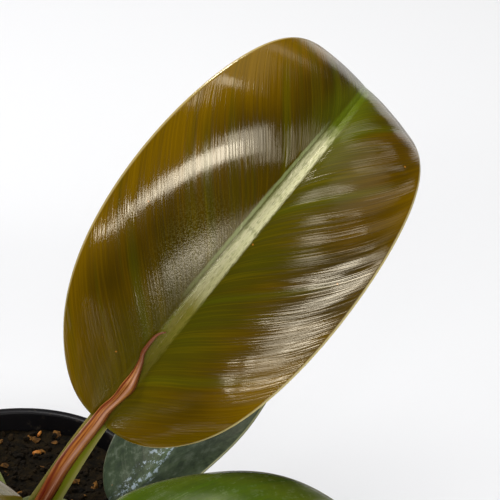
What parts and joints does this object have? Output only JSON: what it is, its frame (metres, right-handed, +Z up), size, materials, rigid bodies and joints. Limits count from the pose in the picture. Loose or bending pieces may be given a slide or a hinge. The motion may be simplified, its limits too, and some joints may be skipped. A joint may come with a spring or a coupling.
{
  "type": "potted red philodendron",
  "caption": "Rosette house plant with broad glossy leaves on thick stalks and a rolled new leaf, in a round tapered plastic nursery pot filled with soil.",
  "frame": {"origin": "middle of the pot's flat underside", "axes": "+Z up; -Y towards the side from which the youngest leaf shows its upper face"},
  "size_m": [0.3444, 0.2726, 0.2824],
  "materials": {
    "pot_plastic": "black moulded plastic, slightly glossy on the lip",
    "soil": "dark brown potting soil of peat and bark with pale bits",
    "stem": "green-brown fleshy stem",
    "bronze_leaf": "glossy bronze and olive leaf with a pale green midrib",
    "green_leaf": "glossy green leaf with an olive margin",
    "old_leaf": "dark grey-green leaf with water marks, less glossy",
    "new_leaf": "glossy red-brown rolled leaf"
  },
  "bodies": {
    "root": {"pot": "pot_plastic", "soil": "soil", "stem": "stem", "leaf_1_youngest": "bronze_leaf", "leaf_2_bronze": "bronze_leaf", "leaf_3_left_back": "green_leaf", "leaf_4_green": "green_leaf", "leaf_5_left_front": "green_leaf", "leaf_6_dark": "old_leaf", "leaf_7_front": "old_leaf", "leaf_8_oldest": "old_leaf", "new_leaf_spear": "new_leaf"}
  },
  "joints": []
}
